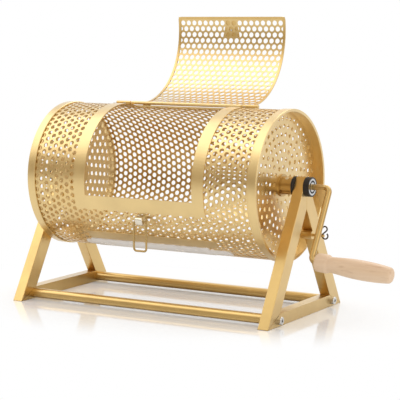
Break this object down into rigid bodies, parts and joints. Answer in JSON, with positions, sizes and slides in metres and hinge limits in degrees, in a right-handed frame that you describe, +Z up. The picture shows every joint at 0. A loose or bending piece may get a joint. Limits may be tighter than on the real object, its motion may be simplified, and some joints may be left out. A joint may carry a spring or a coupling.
{
  "type": "raffle drum with crank",
  "caption": "Perforated metal raffle drum with a curved hinged door and wire latch, turned by a wooden-gripped hand crank in two end frames, with a sliding drum lock.",
  "frame": {"origin": "on the floor, midway between the end frames and straight under the drum axle", "axes": "+X along the axle towards the crank, -Y the front with the latch, +Z up"},
  "size_m": [0.5695, 0.2722, 0.3942],
  "materials": {
    "gold_paint": "satin gold metallic paint",
    "gold_sheet": "satin gold metallic paint on sheet",
    "bright_steel": "bright",
    "bearing_steel": "ground",
    "black_metal": "semi-gloss black",
    "black_rubber": "matt",
    "brass_wire": "drawn wire",
    "dark_steel": "dark",
    "white_plastic": "matt",
    "pale_wood": "clear varnish"
  },
  "bodies": {
    "stand": {"left_front_leg": "gold_paint", "right_front_leg": "gold_paint", "left_rear_leg": "gold_paint", "right_rear_leg": "gold_paint", "left_crossbar": "gold_paint", "right_crossbar": "gold_paint", "front_tie_rod": "gold_paint", "rear_tie_rod": "gold_paint", "tie_rod_screws": "bright_steel", "left_bearing_cup": "black_metal", "right_bearing_cup": "black_metal", "left_bearing_outer_race": "bearing_steel", "right_bearing_outer_race": "bearing_steel", "bearing_balls": "bearing_steel", "bearing_seals": "black_rubber", "spacer_washers": "black_rubber", "lock_guide": "gold_paint"},
    "drum": {"drum_shell": "gold_sheet", "left_rim": "gold_paint", "right_rim": "gold_paint", "left_end_disc": "gold_sheet", "right_end_disc": "gold_sheet", "left_hub": "gold_paint", "right_hub": "gold_paint", "left_bearing_inner_race": "bearing_steel", "right_bearing_inner_race": "bearing_steel", "hub_backing_plates": "gold_paint", "hub_grub_screws": "bright_steel", "opening_frame": "gold_paint", "seam_strap": "gold_paint", "wear_strip": "white_plastic", "hinge_rod": "gold_paint", "hinge_clips": "gold_paint", "hinge_clip_rivets": "bright_steel", "latch_block": "gold_paint", "latch_rivet": "bright_steel", "left_stub_shaft": "bright_steel", "stub_cap_nut": "bright_steel", "crank_rod": "gold_paint", "crank_gusset": "gold_paint", "grip_nut": "bright_steel"},
    "door": {"door_panel": "gold_sheet", "door_hem": "gold_paint", "keeper_plate": "gold_paint", "keeper_rivets": "bright_steel"},
    "latch_bail": {"latch_bail": "brass_wire"},
    "handle": {"wooden_grip": "pale_wood", "grip_plug": "pale_wood"},
    "drum_lock": {"lock_pin": "gold_paint", "lock_pull": "dark_steel"}
  },
  "joints": [
    {"name": "drum_spin", "type": "hinge", "parent": "stand", "child": "drum", "pos_m": [0, 0, 0.1725], "axis": [1, 0, 0], "continuous": true},
    {"name": "door_hinge", "type": "hinge", "parent": "drum", "child": "door", "pos_m": [0, 0.02697, 0.27315], "axis": [1, 0, 0], "range_deg": [0, 180]},
    {"name": "latch_swing", "type": "hinge", "parent": "drum", "child": "latch_bail", "pos_m": [0.0016, -0.09491, 0.12309], "axis": [1, 0, 0], "range_deg": [-163, 44]},
    {"name": "handle_spin", "type": "hinge", "parent": "drum", "child": "handle", "pos_m": [0.24247, -0.05343, 0.08358], "axis": [0.9962, -0.0449, -0.0747], "continuous": true},
    {"name": "lock_pin_slide", "type": "slide", "parent": "stand", "child": "drum_lock", "axis": [-1, 0, 0], "range_m": [0, 0.012]}
  ]
}
